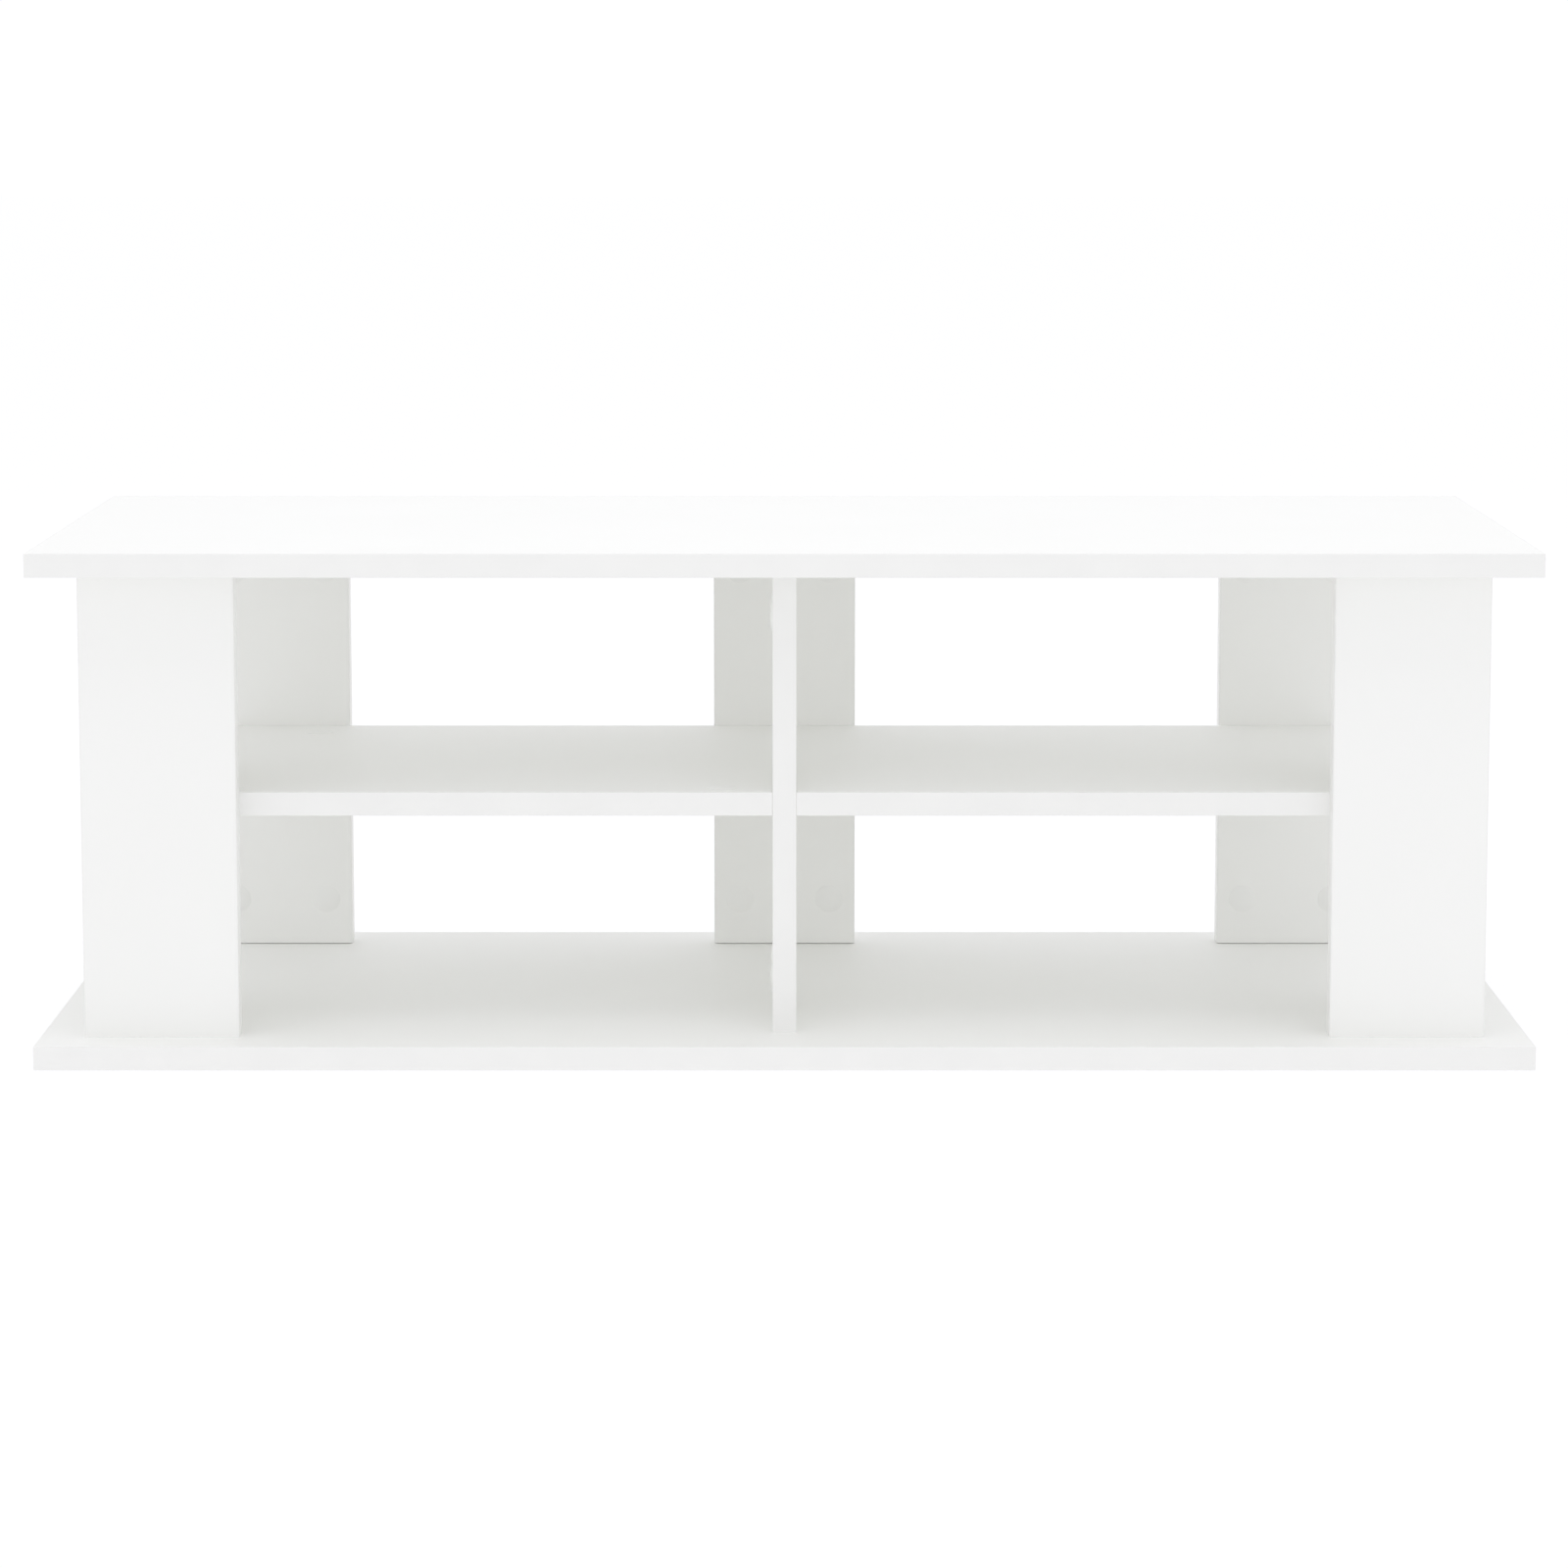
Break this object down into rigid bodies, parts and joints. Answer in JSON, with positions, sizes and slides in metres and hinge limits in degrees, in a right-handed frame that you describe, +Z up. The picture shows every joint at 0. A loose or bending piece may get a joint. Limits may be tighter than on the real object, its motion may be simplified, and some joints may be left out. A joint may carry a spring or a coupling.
{
  "type": "aquarium stand",
  "caption": "Low open white stand of edge-banded board: a top and a bottom board with narrow uprights between them and a shelf at mid height, held by cam locks and dowels.",
  "frame": {"origin": "middle of the underside of the bottom board", "axes": "+X along the length to the right as seen from the front, +Y to the rear, +Z up"},
  "size_m": [1, 0.4, 0.346],
  "materials": {
    "board": "particle board with white satin melamine facing",
    "edging": "white satin plastic strip",
    "lock_zinc": "bare die-cast zinc",
    "bolt_steel": "zinc-plated steel",
    "dowel_beech": "bare beech",
    "cover_cap": "white satin plastic cap"
  },
  "bodies": {
    "root": {"bottom_board": "board", "bottom_board_edging": "edging", "bottom_joint_cam_bolts": "bolt_steel", "bottom_joint_cam_covers": "cover_cap", "bottom_joint_cam_locks": "lock_zinc", "bottom_joint_dowels": "dowel_beech", "centre_front_upright": "board", "centre_front_upright_edging": "edging", "front_leg_left": "board", "front_leg_left_edging": "edging", "front_leg_right": "board", "front_leg_right_edging": "edging", "front_panel_cam_bolts": "bolt_steel", "front_panel_cam_covers": "cover_cap", "front_panel_cam_locks": "lock_zinc", "front_panel_dowels": "dowel_beech", "front_panel_left": "board", "front_panel_left_edging": "edging", "front_panel_right": "board", "front_panel_right_edging": "edging", "rear_upright_centre": "board", "rear_upright_centre_edging": "edging", "rear_upright_left": "board", "rear_upright_left_edging": "edging", "rear_upright_right": "board", "rear_upright_right_edging": "edging", "shelf_cam_bolts": "bolt_steel", "shelf_cam_covers": "cover_cap", "shelf_cam_locks": "lock_zinc", "shelf_double_bolt": "bolt_steel", "shelf_dowels": "dowel_beech", "shelf_left": "board", "shelf_left_edging": "edging", "shelf_long_dowel": "dowel_beech", "shelf_right": "board", "shelf_right_edging": "edging", "top_board": "board", "top_board_edging": "edging", "top_joint_cam_bolts": "bolt_steel", "top_joint_cam_covers": "cover_cap", "top_joint_cam_locks": "lock_zinc", "top_joint_dowels": "dowel_beech"}
  },
  "joints": []
}
